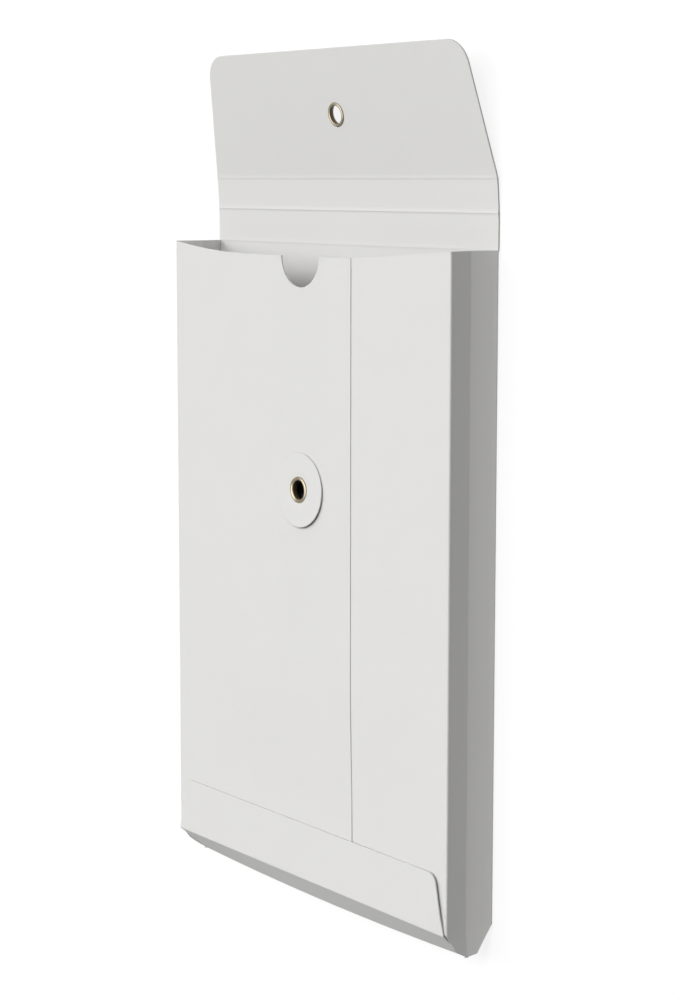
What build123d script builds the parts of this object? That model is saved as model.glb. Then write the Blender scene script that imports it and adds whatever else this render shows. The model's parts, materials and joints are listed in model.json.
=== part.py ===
# String tie envelope: a gusseted card envelope with a scored flap and two riveted card buttons.
# It lies on its back: X runs to the right as its front is seen, Y towards the flap, Z out of the front.
# The origin is the centre of the back panel's outer face. Lengths are in millimetres, angles in degrees.
from build123d import *
import os
from math import atan2, cos, sin, tan

# Card and glue
card = 0.6                  # thickness of the board
glue = 0.1                  # thickness of a glue film
glue_margin = 1.5           # bare card around a glue film

# Body of the envelope
body_width = 162.0          # between the side folds of the back panel
body_height = 229.0         # from the bottom fold to the mouth fold
body_depth = 20.8           # between the outer faces of the back and the front
side_crease_inset = 2.2     # how far the side walls are drawn in at their crease
bottom_crease_drop = 9.6    # how far the bottom wall bulges out at its crease
mouth_gap = 1.0             # front and side walls end this far below the mouth fold
foot_gap = 0.5              # front panels end this far above the bottom fold
corner_gap = 0.3            # between the lower ends of the side walls and the bottom wall

# Front panels
seam_offset = 29.0          # edge of the upper front panel, right of the centre
lap_width = 13.0            # width of the lower front panel's tongue under the upper one
joggle_start = 0.4          # from the seam's edge to the foot of the joggle
joggle_run = 6.0            # length of the slope that leads the tongue under the seam
throat_drop = 3.6           # depth of the shallow dip in the front's top edge
throat_shoulder = 51.0      # length of the rounded shoulder at the left of the dip
notch_radius = 11.2         # thumb notch
notch_rise = 1.2            # centre of the thumb notch above the dip's edge

# Bottom seal flap
seal_height = 20.6          # from the bottom fold to its upper edge
seal_foot_inset = 0.8       # in from the side fold at the bottom
seal_top_inset = 5.2        # in from the side fold at its upper edge
seal_corner_radius = 4.0

# Closing flap
lower_strip = 12.1          # from the mouth fold to the lower score
upper_strip = 11.4          # from the lower score to the upper score
flap_length = 46.0          # from the upper score to the free edge
flap_taper = 7.6            # how much each side narrows towards the free edge
flap_corner_radius = 9.5
lower_score_lean = 3.7      # turn at the lower score, as the flap stands open
upper_score_lean = 7.7      # turn at the upper score, as the flap stands open

# Button discs
button_radius = 13.6
button_thickness = 0.9
button_edge = 0.15          # small bevel around a disc
button_running_gap = 0.08   # between a disc's hole and its eyelet
button_play = 0.1           # between a disc and the eyelet's flange
string_gap = 0.3            # between a disc and the card
front_button_drop = 86.4    # below the mouth fold
flap_button_rise = 22.7     # above the upper score

# Eyelets
bore_radius = 3.1
eyelet_wall = 0.35
flange_radius = 4.8         # on the button's side
flange_rise = 0.6
roll_radius = 4.6           # rolled end on the card's other side
roll_rise = 0.5
roll_bevel = 0.4            # slope of the rolled end, on its rim and at its bore

# Reach of a cut past the solid that it cuts
overrun = 5.0

# Lines that several pieces share
half_width = body_width / 2
half_depth = body_depth / 2
bottom_y = -body_height / 2
mouth_y = body_height / 2
top_y = mouth_y - mouth_gap
throat_y = top_y - throat_drop
front_foot_y = bottom_y + foot_gap
button_y = mouth_y - front_button_drop
barrel_radius = bore_radius + eyelet_wall

# Side folds: the walls lean in, and their mitres run from the outer to the inner fold line
side_lean = atan2(side_crease_inset, half_depth)
fold_inset = card * (1 / cos(side_lean) + tan(side_lean))
crease_x = half_width - side_crease_inset
crease_inner_x = crease_x - card / cos(side_lean)

# Bottom folds: the bottom wall spans from the back's outer face to the seal flap's outer face
seal_seat = body_depth + glue
seal_face = seal_seat + card
half_bottom = seal_face / 2
bottom_crease_y = bottom_y - bottom_crease_drop
bottom_lean = atan2(half_bottom, bottom_crease_drop)
bottom_wall_rise = card / sin(bottom_lean)
bottom_mitre = card * tan(bottom_lean / 2)


def closed_face(points):
    """Flat face inside a closed run of straight edges."""
    return make_face(Polyline(*points, close=True))


def along_y(outline, start, end):
    """Solid with a section of (x, z) points, running along Y."""
    return extrude(closed_face([(x, start, z) for x, z in outline]), end - start, dir=(0, 1, 0))


def along_x(outline, half_length):
    """Solid with a section of (y, z) points, running along X to both sides of the middle."""
    section = closed_face([(-half_length, y, z) for y, z in outline])
    return extrude(section, half_length + half_length, dir=(1, 0, 0))


def trim(solid, point, away):
    """The solid without what lies past a plane through the point, on the side that away points to."""
    return split(solid, bisect_by=Plane(origin=point, z_dir=away), keep=Keep.BOTTOM)


def rod(radius, x, y, low, high):
    """Upright cylinder that serves as a cut."""
    return Pos(x, y, low) * Cylinder(radius, high - low, align=(Align.CENTER, Align.CENTER, Align.MIN))


def flat_plate(face, low, thickness):
    """Flat outline raised to a level and thickened upwards."""
    return extrude(Pos(0, 0, low) * face, thickness, dir=(0, 0, 1))


def rounded_trapezium(foot_half, top_half, foot_y, top_edge_y, corner_radius):
    """Flat outline with two straight lower corners and two rounded upper corners."""
    corners = [(-foot_half, foot_y), (foot_half, foot_y), (top_half, top_edge_y), (-top_half, top_edge_y)]
    outline = closed_face(corners)
    return fillet(outline.vertices().group_by(Axis.Y)[-1], corner_radius)


def back_panel():
    """Back sheet, mitred where the side walls and the bottom wall fold up from it."""
    inner = half_width - fold_inset
    section = [(-half_width, 0), (half_width, 0), (inner, card), (-inner, card)]
    sheet = along_y(section, bottom_y, mouth_y)
    return trim(sheet, (0, bottom_y, 0), (0, -card, bottom_mitre))


def side_foot_y(z):
    """Lower end of a side wall, just inside the rear half of the bottom wall."""
    return bottom_y + bottom_wall_rise + corner_gap - z / tan(bottom_lean)


def side_gusset_rear():
    """Right side wall from the back's fold to its crease."""
    section = [
        (half_width, 0),
        (crease_x, half_depth),
        (crease_inner_x, half_depth),
        (half_width - fold_inset, card),
    ]
    sheet = along_y(section, bottom_crease_y, top_y)
    return trim(sheet, (0, side_foot_y(0), 0), (0, -sin(bottom_lean), -cos(bottom_lean)))


def side_gusset_front():
    """Right side wall from its crease to the front's fold."""
    section = [
        (half_width, body_depth),
        (crease_x, half_depth),
        (crease_inner_x, half_depth),
        (half_width - fold_inset, body_depth - card),
    ]
    sheet = along_y(section, bottom_crease_y, top_y)
    crease_foot = side_foot_y(half_depth)
    fold_foot = side_foot_y(seal_face - body_depth)
    return trim(sheet, (0, crease_foot, half_depth), (0, -half_depth, fold_foot - crease_foot))


def bottom_gusset_rear():
    """Bottom wall from the back's fold to its crease, with ends that follow the side walls."""
    section = [
        (bottom_y, 0),
        (bottom_crease_y, half_bottom),
        (bottom_crease_y + bottom_wall_rise, half_bottom),
        (bottom_y + bottom_mitre, card),
    ]
    sheet = along_x(section, half_width)
    for side in (1, -1):
        sheet = trim(sheet, (side * half_width, 0, 0), (side * half_bottom, 0, side_crease_inset))
    return sheet


def throat_cut():
    """Everything above the front's dipped top edge: a round shoulder, a level run and a straight slope."""
    shoulder_x = throat_shoulder - half_width
    shoulder = TangentArc((shoulder_x, throat_y), (-half_width, top_y), tangent=(-1, 0))
    rest = Polyline(
        (-half_width, top_y),
        (-half_width, top_y + overrun),
        (half_width, top_y + overrun),
        (half_width, top_y),
        (seam_offset, throat_y),
        (shoulder_x, throat_y),
    )
    return flat_plate(make_face([shoulder, rest]), 0, body_depth + overrun)


def front_left_panel():
    """Wide front sheet: its right edge is the seam, and it has the thumb notch and the eyelet's hole."""
    inner = body_depth - card
    section = [
        (-half_width, body_depth),
        (seam_offset, body_depth),
        (seam_offset, inner),
        (fold_inset - half_width, inner),
    ]
    sheet = along_y(section, front_foot_y, top_y) - throat_cut()
    sheet -= rod(notch_radius, 0, throat_y + notch_rise, 0, body_depth + overrun)
    return sheet - rod(barrel_radius, 0, button_y, 0, body_depth + overrun)


def front_right_panel():
    """Narrow front sheet, level with the wide one, with a tongue that steps down under the seam."""
    inner = body_depth - card
    step = card + glue
    slope_foot = seam_offset + joggle_start
    slope_top = slope_foot + joggle_run
    tongue_end = seam_offset - lap_width
    bend = card * tan(atan2(step, joggle_run) / 2)
    section = [
        (half_width, body_depth),
        (slope_top, body_depth),
        (slope_foot, body_depth - step),
        (tongue_end, body_depth - step),
        (tongue_end, inner - step),
        (slope_foot + bend, inner - step),
        (slope_top + bend, inner),
        (half_width - fold_inset, inner),
    ]
    return along_y(section, front_foot_y, top_y) - throat_cut()


def seam_glue():
    """Glue film between the tongue and the wide front sheet."""
    left = seam_offset - lap_width + glue_margin
    right = seam_offset - glue_margin
    low = front_foot_y + glue_margin
    high = throat_y - glue_margin
    outline = closed_face([(left, low), (right, low), (right, high), (left, high)])
    return flat_plate(outline, body_depth - card - glue, glue)


def bottom_seal_flap():
    """Lip of the bottom wall, folded up over the front sheets."""
    foot_half = half_width - seal_foot_inset
    top_half = half_width - seal_top_inset
    outline = rounded_trapezium(foot_half, top_half, bottom_y, bottom_y + seal_height, seal_corner_radius)
    sheet = flat_plate(outline, seal_seat, card)
    return trim(sheet, (0, bottom_y, seal_face), (0, -card, -bottom_mitre))


def seal_glue():
    """Glue film under the seal flap."""
    foot_half = half_width - seal_foot_inset - glue_margin
    top_half = half_width - seal_top_inset - glue_margin
    low = front_foot_y + glue_margin
    high = bottom_y + seal_height - glue_margin
    outline = rounded_trapezium(foot_half, top_half, low, high, seal_corner_radius)
    return flat_plate(outline, body_depth, glue)


def flap_strip(length):
    """Strip of the flap with its inner face on the XY plane and its hinge line on the X axis."""
    outline = [(-half_width, 0), (half_width, 0), (half_width, length), (-half_width, length)]
    return flat_plate(closed_face(outline), -card, card)


def closing_flap():
    """Free end of the flap, in the same place as a strip, with the eyelet's hole."""
    outline = rounded_trapezium(half_width, half_width - flap_taper, 0, flap_length, flap_corner_radius)
    return flat_plate(outline, -card, card) - rod(barrel_radius, 0, flap_button_rise, -card, 0)


def button_disc():
    """Card disc around its eyelet, over the face of the card at the XY plane."""
    high = string_gap + button_thickness
    disc = rod(button_radius, 0, 0, string_gap, high)
    rims = disc.edges().filter_by(GeomType.CIRCLE)
    return chamfer(rims, button_edge) - rod(barrel_radius + button_running_gap, 0, 0, 0, high + overrun)


def eyelet():
    """Tubular rivet with a domed flange over the disc and a rolled end under the card."""
    seat = string_gap + button_thickness + button_play
    foot = -card - roll_rise
    dome_middle = (bore_radius + flange_radius) / 2
    dome = ThreePointArc((bore_radius, 0, seat), (dome_middle, 0, seat + flange_rise), (flange_radius, 0, seat))
    barrel = Polyline(
        (flange_radius, 0, seat),
        (barrel_radius, 0, seat),
        (barrel_radius, 0, -card),
        (roll_radius, 0, -card),
        (roll_radius - roll_bevel, 0, foot),
        (bore_radius + roll_bevel, 0, foot),
        (bore_radius, 0, -card),
        (bore_radius, 0, seat),
    )
    return revolve(make_face([dome, barrel]), Axis.Z)


# Places: the flap's parts turn about the score lines on its inner face, and each button sits on its card
upper_strip_place = Pos(0, mouth_y + lower_strip, card) * Rot(lower_score_lean, 0, 0)
closing_flap_place = upper_strip_place * Pos(0, upper_strip, 0) * Rot(upper_score_lean, 0, 0)
front_button_place = Pos(0, button_y, body_depth)
flap_button_place = closing_flap_place * Pos(0, flap_button_rise, -card) * Rot(180, 0, 0)

right_rear = side_gusset_rear()
right_front = side_gusset_front()
bottom_rear = bottom_gusset_rear()

parts = {
    "back_panel": back_panel(),
    "side_gusset_right_rear": right_rear,
    "side_gusset_right_front": right_front,
    "side_gusset_left_rear": mirror(right_rear, about=Plane.YZ),
    "side_gusset_left_front": mirror(right_front, about=Plane.YZ),
    "bottom_gusset_rear": bottom_rear,
    "bottom_gusset_front": mirror(bottom_rear, about=Plane.XY.offset(half_bottom)),
    "front_left_panel": front_left_panel(),
    "front_right_panel": front_right_panel(),
    "seam_glue": seam_glue(),
    "bottom_seal_flap": bottom_seal_flap(),
    "seal_glue": seal_glue(),
    "flap_lower_strip": Pos(0, mouth_y, card) * flap_strip(lower_strip),
    "flap_upper_strip": upper_strip_place * flap_strip(upper_strip),
    "closing_flap": closing_flap_place * closing_flap(),
    "front_button_disc": front_button_place * button_disc(),
    "front_eyelet": front_button_place * eyelet(),
    "flap_button_disc": flap_button_place * button_disc(),
    "flap_eyelet": flap_button_place * eyelet(),
}

os.makedirs("parts", exist_ok=True)
for name, shape in parts.items():
    export_step(shape, f"parts/{name}.step")
    print(name, round(shape.volume, 1))
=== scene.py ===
"""String tie envelope: folded card sheets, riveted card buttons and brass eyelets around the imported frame."""
import json
from math import atan2, cos, hypot, pi, radians, sin, sqrt, tan

import bpy
import numpy as np
from bpy.props import FloatProperty, FloatVectorProperty, IntProperty, PointerProperty
from mathutils import Matrix, Vector
from mathutils.geometry import delaunay_2d_cdt


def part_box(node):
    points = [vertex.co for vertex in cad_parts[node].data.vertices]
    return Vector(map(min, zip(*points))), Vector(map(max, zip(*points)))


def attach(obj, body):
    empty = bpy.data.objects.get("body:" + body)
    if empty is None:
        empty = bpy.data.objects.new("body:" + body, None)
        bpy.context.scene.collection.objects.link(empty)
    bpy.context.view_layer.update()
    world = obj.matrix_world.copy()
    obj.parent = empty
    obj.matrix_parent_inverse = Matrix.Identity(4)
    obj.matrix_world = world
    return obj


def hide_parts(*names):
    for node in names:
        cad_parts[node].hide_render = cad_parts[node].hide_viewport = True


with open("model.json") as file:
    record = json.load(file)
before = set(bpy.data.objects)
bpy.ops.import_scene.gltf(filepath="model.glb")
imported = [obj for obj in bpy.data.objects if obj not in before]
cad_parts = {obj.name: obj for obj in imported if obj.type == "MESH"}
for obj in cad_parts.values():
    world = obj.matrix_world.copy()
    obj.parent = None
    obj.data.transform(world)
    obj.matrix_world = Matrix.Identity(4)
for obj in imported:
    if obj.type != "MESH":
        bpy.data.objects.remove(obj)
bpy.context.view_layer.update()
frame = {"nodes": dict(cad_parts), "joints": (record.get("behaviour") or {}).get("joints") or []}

bl_info = {
    "name": "String tie envelope",
    "version": (1, 0, 0),
    "blender": (4, 5, 0),
    "location": "3D View > Sidebar > Envelope",
    "description": "Builds a gusseted card envelope with a scored flap and two riveted buttons",
    "category": "Object",
}

MM = 0.001
X, Y, Z = Vector((1, 0, 0)), Vector((0, 1, 0)), Vector((0, 0, 1))

# Sizes read from the frame, in metres
BACK_LOW, BACK_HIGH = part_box("back_panel")
FRONT_LOW, FRONT_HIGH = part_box("front_left_panel")
BOTTOM_WALL_LOW, BOTTOM_WALL_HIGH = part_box("bottom_gusset_rear")
SEAL_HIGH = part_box("bottom_seal_flap")[1]
TONGUE_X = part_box("front_right_panel")[0].x
CARD = BACK_HIGH.z - BACK_LOW.z
HALF_WIDTH = BACK_HIGH.x
BOTTOM_Y = BACK_LOW.y
MOUTH_Y = BACK_HIGH.y
FOOT_Y = FRONT_LOW.y
SEAM_X = FRONT_HIGH.x
DEPTH = FRONT_HIGH.z
HALF_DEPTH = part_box("side_gusset_right_rear")[1].z
CREASE_Y = BOTTOM_WALL_LOW.y
HALF_BOTTOM = BOTTOM_WALL_HIGH.z
PIVOTS = {joint["name"]: Vector(joint["pos_m"]) for joint in frame["joints"]}
AXES = {joint["name"]: Vector(joint["axis"]) for joint in frame["joints"]}

# Edges, mesh and waviness of every sheet
SCORE_STEP = 0.15 * MM
SCORE_TONGUE = 0.985 * CARD
UNDER_BEND = 0.96 * CARD
BOTTOM_FOLD_RADIUS = 0.9 * MM
BOTTOM_CREASE_RADIUS = 1.0 * MM
RING_HEIGHTS = [CARD * share for share in (0, 0.03, 0.1, 0.2, 0.33, 0.5, 0.67, 0.8, 0.9, 0.97, 1)]
FACE_INSETS = [1.6 * MM, 1.0 * MM, 0.55 * MM, 0.22 * MM]
EDGE_CLEARANCE = 0.6
RING_PART = 200
STRAIGHT_TURN = 1e-4
TINY = 1e-12
FILL_CLOSENESS = 1e-9
WAVE_COUNT = 3
WAVE_RATES = (0.6, 1.6)
WAVE_STRETCH = 1.4

# Front: its mouth, notch, seam and bulge
THROAT_DROP = 3.6 * MM
THROAT_SHOULDER = 51.0 * MM
SHOULDER_STEPS = 12
NOTCH_RADIUS = 11.2 * MM
NOTCH_RISE = 0.2 * MM
NOTCH_STEPS = 40
LAP_CRUSH = 0.68
LAP_RUN = 3.0 * MM
LAP_STEPS = 3
LAP_GAP = 0.02 * MM
TONGUE_RUN = 1.07 * LAP_RUN
JOGGLE_RUN = 6.0 * MM
JOGGLE_STEPS = 8
JOGGLE_DROP = 0.7 * MM
FILM_POINTS_ACROSS = 21
FILM_POINTS_ALONG = 41
FRONT_BOW = 1.0 * MM
FRONT_BOW_RUN = 60.0 * MM

# Lip glued up over the front
SEAL_FOOT_INSET = 0.8 * MM
SEAL_TOP_INSET = 5.2 * MM
SEAL_CORNER = 4.0 * MM
LIP_LIFT = 0.45 * MM
LIP_LIFT_RUN = 12.0 * MM
LIP_LIFT_RISE = 8.0 * MM

# Side walls, and their tabs over the ends of the bottom wall
WALL_TIP = 0.1 * MM
REAR_TAB_START = 5.52 * MM
REAR_TAB_DROP = 0.75 * MM
FRONT_TAB_START = 4.81 * MM
FRONT_TAB_DROP = 2.8 * MM
TAB_ROOT = -0.1 * MM
FRONT_TAB_ROOT = 0.4 * MM
TAB_FLARE = 0.8 * MM
LEFT_TAB = ((2.9 * MM, 4.5 * MM), (5.5 * MM, 6.6 * MM))
LEFT_TIP = 9.6 * MM
REAR_HOLLOW = 0.35 * MM
FRONT_HOLLOW = 0.4 * REAR_HOLLOW

# Bottom wall, and the strip inside its crease
END_GAP = 0.08 * MM
CREASE_BOW = 1.6 * MM
CREASE_POINTS = 25
INNER_FOLD = 0.35 * MM
INNER_FOLD_GAP = 0.02 * MM
INNER_FOLD_REACH = 1.9
INNER_FOLD_POINTS = 49

# Flap and its scores
MOUTH_BEAD = 0.09 * MM
LOWER_BEAD = 0.2 * MM
UPPER_BEAD = 0.13 * MM
BEAD_SLACK = 0.7 * MM
BEAD_STEEP = 0.24 * MM
FLAP_LENGTH = 46.0 * MM
FLAP_TAPER = 7.6 * MM
FLAP_CORNER = 9.5 * MM
LOWER_LEAN = radians(3.7)
UPPER_LEAN = radians(7.7)
FLAP_BUTTON_RISE = 22.7 * MM

# Card buttons, with heights over the card they are riveted to
RIVET_HOLE = 3.45 * MM
BUTTON_RADIUS = 13.4 * MM
BUTTON_HOLE = 3.53 * MM
BUTTON_LOW = 0.3 * MM
BUTTON_HIGH = 0.77 * MM
BUTTON_SOFT = 0.16 * MM
BUTTON_HOLE_SOFT = 0.05 * MM
BUTTON_PRESS = 0.1 * MM
PRESS_RADIUS = 5.0 * MM
PRESS_SLOPE_RADIUS = 5.6 * MM
BUTTON_UNDER_RINGS = [radius * MM for radius in (4.6, 6, 8, 10, 12, 13)]
BUTTON_UPPER_RINGS = [radius * MM for radius in (13, 12, 10, 8, 6.4)]
BUTTON_TILT = 0.32 * MM
BUTTON_TILT_TURN = radians(85)
BUTTON_SADDLE = 0.1 * MM
BUTTON_SADDLE_TURN = radians(150)

# Eyelets, with heights over the card they go through
CROWN_RADIUS = 4.15 * MM
CROWN_TOP = 1.25 * MM
FLANGE_RADIUS = 4.8 * MM
FLANGE_LOW = 0.65 * MM
FLANGE_RIM = 0.74 * MM
BELL_RADIUS = 3.22 * MM
BELL_LOW = 0.0 * MM
ROLL_RADIUS = 3.77 * MM
ROLL_HALF_WIDTH = 0.55 * MM
ROLL_MIDDLE = -0.72 * MM
ROLL_DROP = 0.38 * MM
HEM_WIDTH = 0.32 * MM
EYELET_SOFT = 0.05 * MM
EYELET_SHARP = 60
CRIMP_COUNT = 8
CRIMP_SHARE = 0.015
CRIMP_RADIUS = 3.6 * MM
CRIMP_START = 0.62 * MM
CRIMP_RUN = 0.2 * MM
# Where the brass turns from dark to bright: partly wear from handling, partly painted shade and painted dark
# reflection low on the eyelet and in its bore
SHADE_TO_POLISH_START = 0.6 * MM
SHADE_TO_POLISH_RUN = 0.55 * MM
ROLL_SHADE_TO_POLISH_START = 0.75 * MM
ROLL_SHADE_TO_POLISH_RUN = 0.38 * MM

# Finishes, with the scales of their noise
CLOUD_SCALE = 55.0
PULP_SCALE = 900.0
FIBRE_SCALE = (240.0, 2200.0, 900.0)
FIBRE_TURNS = (0.3, 1.35, 2.4)
FIBRE_SHARE = 0.6
PULP_MIDDLE = 0.55
PULP_DEPTH = 0.06 * MM
CARD_ROUGH_LOW = 0.5
CARD_ROUGH_SPAN = 0.16
CARD_SPECULAR = 0.32
WEAR_SCALE = 700.0
WEAR_GAIN = 1.6
WEAR_BIAS = -0.3
FOLD_WEAR = 0.6
SPOT_SCALE = 900.0
SPOT_SPAN = 0.5
# Brass ramp: its dark end is dull metal, darkened further into painted shade and painted dark reflection
TARNISH_AND_SHADE_END = 0.15
BRIGHT_START = 0.8
BRASS_ROUGH_DULL = 0.4
BRASS_ROUGH_BRIGHT = 0.2
BRASS_METAL_DULL = 0.35
MARK_SCALE = 4000.0
MARK_DEPTH = 0.03 * MM
MARK_STRENGTH = 0.12
GLUE_DARK = (0.7, 0.68, 0.58)
GLUE_LIGHT = (0.82, 0.8, 0.72)
GLUE_SCALE = 160.0
GLUE_ROUGH_LOW = 0.25
GLUE_ROUGH_SPAN = 0.2
BLISTER_SCALE = 1200.0
BLISTER_DEPTH = 0.05 * MM
BLISTER_STRENGTH = 0.3

# Stage: the direction each light comes from, and how the floor and the mirrored panel look
KEY_FROM = (0.3, 0.5, 0.81)
SIDE_FROM = (-0.65, 0.4, 0.65)
TOP_FROM = (-0.2, 0.2, 0.96)
LIGHT_SPREAD = radians(30)
TABLE_FROM = (0, -0.307, -0.952)
PANEL_FROM = (0.1, 0.25, 0.96)
PANEL_EDGE_START = 0.55
PANEL_EDGE_END = 0.88
PANEL_DARK = 0.3
FLOOR_HALF = 6.0
FLOOR_Z = -0.4 * MM
FLOOR_SHADE = 0.22
FLOOR_GLOW = 0.93

# Camera fitted to the photograph, in its pixels, radians and millimetres
PICTURE_WIDTH, PICTURE_HEIGHT = 680, 1000
FOCAL_PIXELS = 2234.8
AXIS_X, AXIS_Y = 325.58, 465.84
CAMERA_TURN, CAMERA_TILT = 0.9257, 0.128
CAMERA_PLACE = (634.41, 137.98, 487.88)
SENSOR_WIDTH = 36.0

# Places worked out from the above
THROAT_Y = MOUTH_Y - THROAT_DROP
FOLD_X = PIVOTS["right_wall_fold"].x
CREASE_X = PIVOTS["right_crease"].x
WALL_LEAN = atan2(HALF_WIDTH - CREASE_X, HALF_DEPTH)
BOTTOM_LEAN = atan2(HALF_BOTTOM, BOTTOM_Y - CREASE_Y)
BOTTOM_REACH = hypot(HALF_BOTTOM, BOTTOM_Y - CREASE_Y)


class CardSettings(bpy.types.PropertyGroup):
    """Sizes and colours of the card."""

    colour: FloatVectorProperty(name="Card", description="Face of the card", subtype="COLOR",
                                default=(0.80, 0.795, 0.780))
    core: FloatVectorProperty(name="Cut edge", description="Board seen at a cut edge", subtype="COLOR",
                              default=(0.66, 0.652, 0.63))
    worn: FloatVectorProperty(name="Worn fold", description="Fibres laid open along a fold", subtype="COLOR",
                              default=(0.86, 0.857, 0.845))
    edge_round: FloatProperty(name="Edge rounding", description="Rounding left by the cutting die",
                              default=0.07 * MM, unit="LENGTH")
    wave: FloatProperty(name="Waviness", description="How far a sheet is out of flat",
                        default=0.14 * MM, unit="LENGTH")
    grid: FloatProperty(name="Mesh grid", description="Spacing of the points inside a sheet",
                        default=5.0 * MM, unit="LENGTH")
    step: FloatProperty(name="Mesh step", description="Spacing of the points along a sheet's edge",
                        default=2.0 * MM, unit="LENGTH")


class BrassSettings(bpy.types.PropertyGroup):
    """Finish of the eyelets, and the segments of every round piece."""

    colour: FloatVectorProperty(name="Brass", description="Clean metal", subtype="COLOR",
                                default=(0.87, 0.755, 0.545))
    # Darkened beyond real dull metal, so that it also paints the shade in the bore and the dark reflections at
    # the eyelet's edges
    tarnish_and_shade: FloatVectorProperty(name="Tarnish", description="Dulled metal in the recesses", subtype="COLOR",
                                 default=(0.09, 0.07, 0.036))
    turns: IntProperty(name="Segments", description="Segments around an eyelet or a button", default=96)


class StageSettings(bpy.types.PropertyGroup):
    """Floor and light."""

    floor: FloatVectorProperty(name="Floor", description="Pale floor", subtype="COLOR",
                               default=(0.9, 0.9, 0.9))
    sky: FloatProperty(name="Dome", description="Brightness of the light all round", default=0.248)
    lean: FloatProperty(name="Dome lean", description="How much brighter the dome is below",
                        default=0.197)
    key: FloatProperty(name="Key light", description="Strength of the soft light behind the flap",
                       default=1.47)
    side: FloatProperty(name="Side light", description="Strength of the soft light from the left",
                        default=0.86)
    top: FloatProperty(name="Top light", description="Strength of the soft light overhead", default=0.89)
    shine: FloatProperty(name="Shine", description="Brightness of the panel that the brass mirrors",
                         default=1.3)


# Edges of a sheet: how far each kind reaches past its line, at a height over the sheet's inner face
def cut_reach(height, rounding):
    """Die-cut edge with both arrises slightly rounded."""
    depth = rounding - min(height, CARD - height)
    if depth <= 0:
        return 0.0
    return sqrt(max(rounding ** 2 - depth ** 2, 0.0)) - rounding


def bend_reach(height, radius):
    """Quarter round about a fold line at height nought."""
    return sqrt(max(radius ** 2 - height ** 2, 0.0))


def score_reach(height):
    """Square on the inner side, with a round tongue that stays under the next strip."""
    return 0.0 if height < SCORE_STEP else bend_reach(height, SCORE_TONGUE)


def bead(distance, height, width):
    """Bead that a scoring rule raises on the inner face, at a distance from the score."""
    return height * np.exp(-(distance / width) ** 2)


def mitre_reach(height, half_turn, radius):
    """Half of a rounded outer corner that is split along its mitre."""
    depth = CARD - height
    tangent = radius * tan(half_turn)
    if depth < radius * (1 - cos(half_turn)):
        return sqrt(max(radius ** 2 - (radius - depth) ** 2, 0.0)) - tangent
    return -depth * tan(half_turn)


def reach(kind, height, rounding):
    """Reach of an edge of one kind past its line."""
    if kind == "cut":
        return cut_reach(height, rounding)
    if kind == "fold":
        return bend_reach(height, CARD)
    if kind == "fold_under":
        return bend_reach(height, UNDER_BEND)
    if kind == "crease":
        return bend_reach(CARD - height, CARD)
    if kind == "crease_under":
        return bend_reach(CARD - height, UNDER_BEND)
    if kind == "score":
        return score_reach(height)
    if kind == "bottom_fold":
        return mitre_reach(height, BOTTOM_LEAN / 2, BOTTOM_FOLD_RADIUS)
    if kind == "bottom_crease":
        return mitre_reach(height, pi / 2 - BOTTOM_LEAN, BOTTOM_CREASE_RADIUS)
    raise ValueError(f"no edge kind named {kind}")


# Sheets and turned pieces
def edge_counts(corners, step):
    """How many parts each edge of a closed loop is split into."""
    lengths = np.linalg.norm(np.roll(corners, -1, axis=0) - corners, axis=1)
    return np.maximum(1, np.round(lengths / step)).astype(int)


def split(corners, counts):
    """Points along the edges of a closed loop."""
    ahead = np.roll(corners, -1, axis=0)
    return np.concatenate([
        here + (there - here) * (np.arange(count) / count)[:, None]
        for here, there, count in zip(corners, ahead, counts)
    ])


def widened(points, kinds, height, rounding, inset):
    """The loop with each edge moved out by its reach at a height, less an inset."""
    ahead = np.roll(points, -1, axis=0) - points
    ahead /= np.linalg.norm(ahead, axis=1)[:, None]
    after = np.stack([ahead[:, 1], -ahead[:, 0]], axis=1)
    before = np.roll(after, 1, axis=0)
    table = {kind: reach(kind, height, rounding) - inset for kind in set(kinds)}
    move_after = np.array([table[kind] for kind in kinds])
    move_before = np.roll(move_after, 1)
    cross = before[:, 0] * after[:, 1] - before[:, 1] * after[:, 0]
    straight = np.abs(cross) < STRAIGHT_TURN
    safe = np.where(straight, 1.0, cross)
    corner = np.stack([
        (move_before * after[:, 1] - move_after * before[:, 1]) / safe,
        (before[:, 0] * move_after - after[:, 0] * move_before) / safe,
    ], axis=1)
    level = (before + after) / 2 * ((move_before + move_after) / 2)[:, None]
    return points + np.where(straight[:, None], level, corner)


def inside(points, loop):
    """Which points lie inside a loop, by the even-odd rule."""
    x, y = points[:, 0][:, None], points[:, 1][:, None]
    x0, y0 = loop[:, 0], loop[:, 1]
    x1, y1 = np.roll(x0, -1), np.roll(y0, -1)
    crossing = (y0 > y) != (y1 > y)
    slope = np.where(y1 == y0, TINY, y1 - y0)
    return (crossing & (x < (x1 - x0) * (y - y0) / slope + x0)).sum(axis=1) % 2 == 1


def fill(loops, extra):
    """Triangles between closed loops, by number: the loops' points in order, then the extra points inside."""
    edges, start = [], 0
    for loop in loops:
        count = len(loop)
        edges += [(start + i, start + (i + 1) % count) for i in range(count)]
        start += count
    points = np.concatenate(loops + [extra]) / MM
    made = delaunay_2d_cdt([Vector(point) for point in points.tolist()], edges, [], 0, FILL_CLOSENESS, True)
    own = [ids[0] for ids in made[3]]
    corners = [tuple(own[i] for i in triangle) for triangle in made[2]]
    owner = {}
    for number, (i, j, k) in enumerate(corners):
        owner.update({(i, j): number, (j, k): number, (k, i): number})
    border = set(edges)
    waiting = [owner[edge] for edge in edges]
    kept = set(waiting)
    while waiting:
        i, j, k = corners[waiting.pop()]
        for edge in ((i, j), (j, k), (k, i)):
            beyond = owner.get(edge[::-1])
            if edge not in border and beyond not in kept:
                kept.add(beyond)
                waiting.append(beyond)
    return np.array([corners[number] for number in sorted(kept)])


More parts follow.
